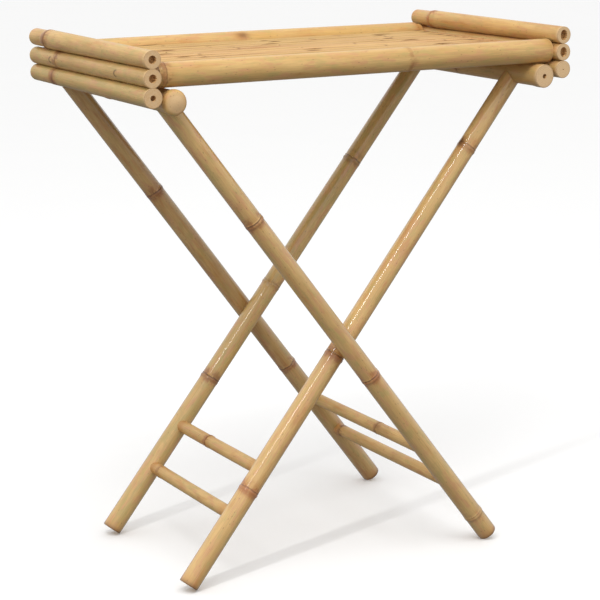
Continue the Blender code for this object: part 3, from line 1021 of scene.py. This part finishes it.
def crowned_top(rng, u, v):
    """Height of the strip's upper face, whose sides are lower than its middle."""
    tilt = rng.uniform(-0.00025, 0.00025) * np.sin(u * 8 + rng.uniform(0, 6)) * 2 * v
    waves = 0.00025 * np.sin(u * 17 + rng.uniform(0, 6))
    return waves + tilt - SLAT_CROWN * (2 * v) ** 2 - SLAT_LIP * ramp(np.abs(2 * v), 0.9, 1.0) ** 2


def nailed_splits(rng, u, v, length, battens):
    """How dark the painted shade in the strip's open split is near each batten, and how far the wood behind it
    stands up.
    """
    gap_shade, lift = np.zeros_like(u), np.zeros_like(u)
    for nailed in battens:
        middle_u = (nailed + rng.uniform(-0.022, 0.022)) / length
        middle_v = rng.uniform(-0.38, 0.25)
        half_u = rng.uniform(0.012, 0.034) * rng.choice((0.05, 1.0), p=(0.35, 0.65))
        line = middle_v + 0.05 * np.sin((u - middle_u) * 30 + rng.uniform(0, 6))
        lens = np.clip(1 - ((u - middle_u) / half_u) ** 2, 0, 1)
        behind = ramp(v - line, 0.0, 0.02) * ramp(v - line, 0.42, 0.0)
        lift = np.maximum(lift, lens * behind)
        gap_shade = np.maximum(gap_shade, np.sqrt(lens) * hump(v - line - 0.01, 0.03))
    return gap_shade, lift


def faint_rings(rng, u, v, length):
    """Two of the culm's node rings, which cross the strip."""
    ring = np.zeros_like(u)
    for place in (rng.uniform(-0.4, -0.1), rng.uniform(0.05, 0.42)):
        wander = place + 0.004 * np.sin(v * 6 + rng.uniform(0, 6))
        ring = np.maximum(ring, hump((u - wander) * length, 0.0022))
    return ring


def trimmed_end(rng, x, v, stop):
    """Where the lower layer shows past a wavy line at stop, and the painted shade of the notch before the line."""
    stop = stop + 0.006 * v + 0.0012 * np.sin(v * 19 + rng.uniform(0, 6))
    past = ramp(x - stop, 0.001, 0.0022)
    gaps = np.clip(0.9 + 1.6 * np.sin(2 * math.pi * v + rng.uniform(0.2, 1.0)), 0, 1)
    return past, gaps * hump(x - stop + 0.008, 0.0085)


def build_slat(node, seed, gold, trim, battens, material):
    """One flattened strip: crowned, ragged at its ends and split where it is nailed to battens.

    Its top layer stops at trim from the right end, and a rosier layer goes on."""
    rng = np.random.default_rng(seed)
    low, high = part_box(node)
    length, width, _ = high - low
    along = np.linspace(-0.5, 0.5, SLAT_ROWS)
    fine = 0.5 - trim / length + np.arange(-6, 8) * 0.0008 / length
    along = np.unique(np.concatenate([along, fine]))
    u, v = np.meshgrid(along, np.linspace(-0.5, 0.5, SLAT_COLUMNS), indexing="ij")
    x, y = ragged_outline(rng, u, v, length, width)
    z = high.z - SLAT_SINK + crowned_top(rng, u, v)
    gap_shade, lift = nailed_splits(rng, u, v, length, battens)
    ring = faint_rings(rng, u, v, length)
    past, notch = trimmed_end(rng, x, v, length / 2 - trim)
    # Painted shade: the sides, the top near them and the end corners are darkened
    tips = ramp(np.abs(x), length / 2 - 0.006, length / 2 - 0.003)
    corners = 1.6 * tips * np.clip((np.abs(2 * v) - 0.55) / 0.4, 0, 1)
    sides = np.maximum(ramp(np.abs(2 * v), 0.8, 1.0), corners)

    top = np.stack([x, y, z + SPLIT_LIFT * lift + RING_RISE * ring - STEP_DOWN * past], -1)
    bottom = np.stack([x, y, low.z + 0.0004 * np.abs(2 * v) ** 4], -1)
    centre = np.array([(low.x + high.x) / 2, (low.y + high.y) / 2, 0.0])
    points = np.concatenate([top.reshape(-1, 3), bottom.reshape(-1, 3)]) + centre
    mesh = bpy.data.meshes.new("bamboo_" + node)
    mesh.from_pydata(points.tolist(), [], slab_faces(len(along), SLAT_COLUMNS))
    shift = np.array([rng.uniform(-3, 3), rng.uniform(-1, 1), 0.0])
    # The split attribute: painted shade of splits and notches, the node rings, and painted shade of the sides
    looks = np.stack([np.maximum(gap_shade, notch), ring, sides], -1).reshape(-1, 3)
    tone = np.tile((rng.uniform(0.86, 1.04), gold, 0.0), (len(points), 1))
    tone[:, 2] = np.tile(past.ravel(), 2)
    set_attribute(mesh, "strip", points + shift)
    set_attribute(mesh, "split", np.concatenate([looks, np.zeros_like(looks)]))
    set_attribute(mesh, "tone_slat", tone)
    return finish_mesh(mesh, [material])


def slab_faces(rows, columns):
    """Quads of a closed slab: a grid above, a grid below and the wall between them."""
    below = rows * columns
    faces = []
    for row in range(rows - 1):
        for column in range(columns - 1):
            corner = row * columns + column
            face = (corner, corner + columns, corner + columns + 1, corner + 1)
            faces.append(face)
            faces.append(tuple(below + vertex for vertex in reversed(face)))
    rim = list(range(columns))
    rim += [row * columns + columns - 1 for row in range(1, rows)]
    rim += [(rows - 1) * columns + column for column in range(columns - 2, -1, -1)]
    rim += [row * columns for row in range(rows - 2, 0, -1)]
    for index, here in enumerate(rim):
        there = rim[(index + 1) % len(rim)]
        faces.append((here, there, below + there, below + here))
    return faces


def build_slats(material):
    """The strips at the front and the back of the tray are more golden than the others."""
    slats = sorted(node for node in frame["nodes"] if node.startswith("tray_slat"))
    battens = [middle(node).x for node in frame["nodes"] if node.startswith("tray_batten")]
    for index, node in enumerate(slats):
        gold = abs(2 * index / (len(slats) - 1) - 1) ** 2 + 0.3
        trim = TRIM_BACK + TRIM_SPREAD * (1 - index / (len(slats) - 1))
        stands_for(build_slat(node, 101 + index, gold, trim, battens, material), node)


# ------------ hidden fittings

def build_washers(material):
    """Smooth turned washers in the gap between crossing legs."""
    for node in ("front_pivot_washer", "back_pivot_washer"):
        centre, size = middle(node), span(node)
        outer, half = size.x / 2, size.y / 2
        inner = span("front_pivot_dowel").x / 2 + CAD_GAP
        edge = 0.2 * half
        upper = [(inner, half - edge), (inner + edge, half), (outer - edge, half), (outer, half - edge)]
        outline = upper + [(radius, -rise) for radius, rise in reversed(upper)]
        points = []
        for radius, rise in outline:
            for turn in np.arange(WASHER_SIDES) * 2 * math.pi / WASHER_SIDES:
                spot = Vector((radius * math.cos(turn), rise, radius * math.sin(turn)))
                points.append(centre + spot)
        rings = [np.arange(WASHER_SIDES) + WASHER_SIDES * row for row in range(len(outline))]
        faces, _ = ring_faces(rings + rings[:1], ["skin"] * (len(outline) + 1))
        mesh = bpy.data.meshes.new("turned_" + node)
        mesh.from_pydata(points, [], faces)
        stands_for(finish_mesh(mesh, [material]), node)


def dress_hidden_dowels(material):
    """The dowels and pegs stay as CAD made them, with a wood finish."""
    for name, obj in frame["nodes"].items():
        if "dowel" in name or "peg" in name:
            obj.data.materials.clear()
            obj.data.materials.append(material)


# ------------ studio

def add_area_light(name, target, direction, distance, size, power, along=None):
    """A soft light in a direction from its target. along turns the long side of a strip."""
    data = bpy.data.lights.new(name, "AREA")
    data.shape = "RECTANGLE"
    data.size, data.size_y = size
    data.energy = power
    light = bpy.data.objects.new(name, data)
    back = Vector(direction).normalized()
    across = Vector(along or (1.0, 0.0, 0.0))
    across = (across - across.dot(back) * back).normalized()
    turn = Matrix((across, back.cross(across), back)).transposed()
    light.matrix_world = Matrix.Translation(Vector(target) + distance * back) @ turn.to_4x4()
    bpy.context.scene.collection.objects.link(light)


def studio_world():
    """White walls and ceiling above a darker floor, so that undersides fall into shade."""
    world = bpy.data.worlds.new("studio")
    world.use_nodes = True
    nodes = Nodes(world.node_tree)
    background = nodes.tree.nodes["Background"]
    background.inputs["Color"].default_value = (1.0, 1.0, 1.0, 1.0)
    height = nodes.add("SeparateXYZ", {0: nodes.add("TexCoord", {}, "Generated")}, "Z")
    strength = nodes.remap(height, -0.3, 0.3, SHADE_BELOW, LIGHT_ABOVE)
    nodes.wire(strength, background.inputs["Strength"])
    return world


def build_studio():
    scene = bpy.context.scene
    mesh = bpy.data.meshes.new("floor")
    reach = 60.0
    corners = [(-reach, -reach, 0), (reach, -reach, 0), (reach, reach, 0), (-reach, reach, 0)]
    mesh.from_pydata(corners, [], [(0, 1, 2, 3)])
    mesh.materials.append(floor_material())
    floor = bpy.data.objects.new("floor", mesh)
    floor.visible_diffuse = False
    floor.visible_glossy = False
    scene.collection.objects.link(floor)

    heart = (0.0, 0.0, 0.4)
    leaning = (0.63, 0.02, 0.78)
    raised = (0.16, 0.0, 0.6)
    add_area_light("key_strip", raised, (-0.6, -0.41, 0.69), 2.6, (1.6, 0.09), 17.2, leaning)
    add_area_light("overhead", heart, (-0.1, -0.45, 1.0), 3.2, (2.0, 1.6), 18.5)
    scene.world = studio_world()
    scene.view_settings.view_transform = "Standard"

    data = bpy.data.cameras.new("camera")
    data.lens = CAMERA_LENS
    data.sensor_width = CAMERA_SENSOR
    camera = bpy.data.objects.new("camera", data)
    turn = Euler((math.pi / 2 + CAMERA_PITCH, 0.0, -CAMERA_YAW)).to_matrix()
    turn = turn @ Matrix.Rotation(CAMERA_ROLL, 3, "Z")
    camera.matrix_world = Matrix.Translation(CAMERA_PLACE) @ turn.to_4x4()
    scene.collection.objects.link(camera)
    scene.camera = camera


def main():
    build_studio()
    sawn = [bamboo_end(), bamboo_bore()]
    satin = [bamboo_skin("bamboo_satin", 0.12)] + sawn
    glossy = [bamboo_skin("bamboo_glossy", 1.0)] + sawn
    build_end_poles(satin)
    build_front_rail(satin)
    build_back_rail(satin)
    build_crossbars(satin)
    build_legs(glossy)
    build_rungs(satin)
    build_battens(satin)
    build_slats(split_bamboo())
    build_washers(washer_steel())
    dress_hidden_dowels(dowel_wood())


main()
